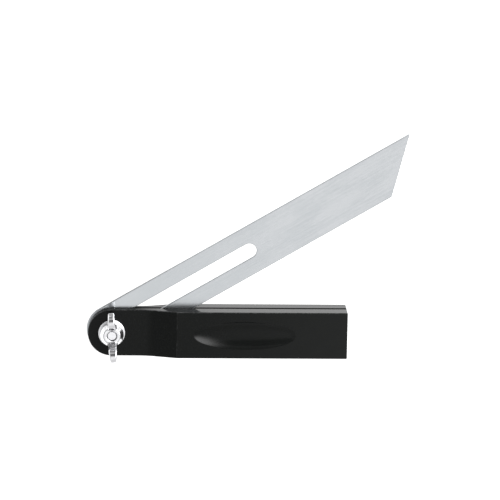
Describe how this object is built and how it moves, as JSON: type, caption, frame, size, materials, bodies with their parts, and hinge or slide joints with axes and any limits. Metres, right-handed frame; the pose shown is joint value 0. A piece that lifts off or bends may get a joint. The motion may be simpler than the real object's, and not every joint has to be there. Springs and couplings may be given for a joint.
{
  "type": "sliding bevel",
  "caption": "Sliding bevel with a slotted satin steel blade held at an angle in a slim black stock by a clamp bolt and wing nut.",
  "frame": {"origin": "on the pivot axis, in the plane that the tool rests on, at the middle of the bolt head's flat face", "axes": "+X along the stock from the pivot to the tail, +Z out of the face that carries the wing nut, +Y towards the side that the blade leaves by"},
  "size_m": [0.1674, 0.1209, 0.0296],
  "materials": {
    "black_paint": "satin black",
    "satin_steel": "satin, faint lengthwise brushing",
    "bright_nickel": "bright plated",
    "dark_steel": "blackened"
  },
  "bodies": {
    "stock": {"front_stock_half": "black_paint", "rear_stock_half": "black_paint", "tail_spacer": "dark_steel", "tail_screw_1": "dark_steel", "tail_screw_2": "dark_steel", "head_washer": "bright_nickel"},
    "bolt": {"clamp_bolt": "bright_nickel"},
    "blade": {"blade": "satin_steel"},
    "washer": {"nut_washer": "bright_nickel"},
    "wing_nut": {"wing_nut": "bright_nickel"}
  },
  "joints": [
    {"name": "blade_swing", "type": "hinge", "parent": "stock", "child": "bolt", "pos_m": [0, 0, 0], "axis": [0, 0, 1], "range_deg": [-18.6, 316]},
    {"name": "blade_slide", "type": "slide", "parent": "bolt", "child": "blade", "axis": [0.8602, 0.5099, 0], "range_m": [-0.084, 0]},
    {"name": "nut_lift", "type": "slide", "parent": "bolt", "child": "washer", "axis": [0, 0, 1], "range_m": [0, 0.0016]},
    {"name": "nut_spin", "type": "hinge", "parent": "washer", "child": "wing_nut", "pos_m": [0, 0, 0.0146], "axis": [0, 0, 1], "range_deg": [0, 720]}
  ],
  "couplings": [
    {"joint": "nut_lift", "follows": "nut_spin", "m_per_rad": 0.00012732}
  ]
}
